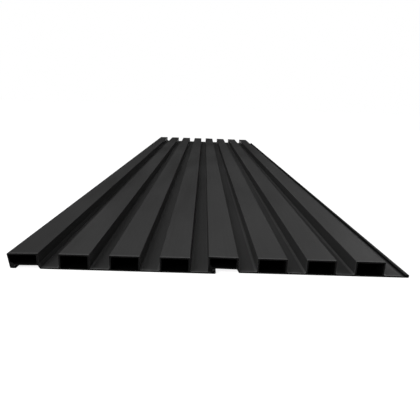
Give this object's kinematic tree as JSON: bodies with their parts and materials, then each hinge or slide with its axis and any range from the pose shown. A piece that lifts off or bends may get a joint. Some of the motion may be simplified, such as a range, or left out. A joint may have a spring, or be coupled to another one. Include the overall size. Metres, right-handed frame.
{
  "type": "pvc wall panel",
  "caption": "Fluted hollow PVC wall panels clicked together edge to edge: flat-topped box ribs on a thin back sheet, with a hook edge and a beaded nailing flange.",
  "frame": {"origin": "centre of the pair's plan on the back plane, which lies on the wall or floor", "axes": "+X across the ribs, from the free hook edge to the free flange; +Y along the ribs, away from the near cut end; +Z out of the wall, from the back to the rib tops"},
  "size_m": [0.324, 1.103, 0.0134],
  "materials": {
    "left_panel": "matt extruded PVC, charcoal",
    "right_panel": "matt extruded PVC, charcoal"
  },
  "bodies": {
    "root": {"left_panel": "left_panel", "right_panel": "right_panel"}
  },
  "joints": []
}
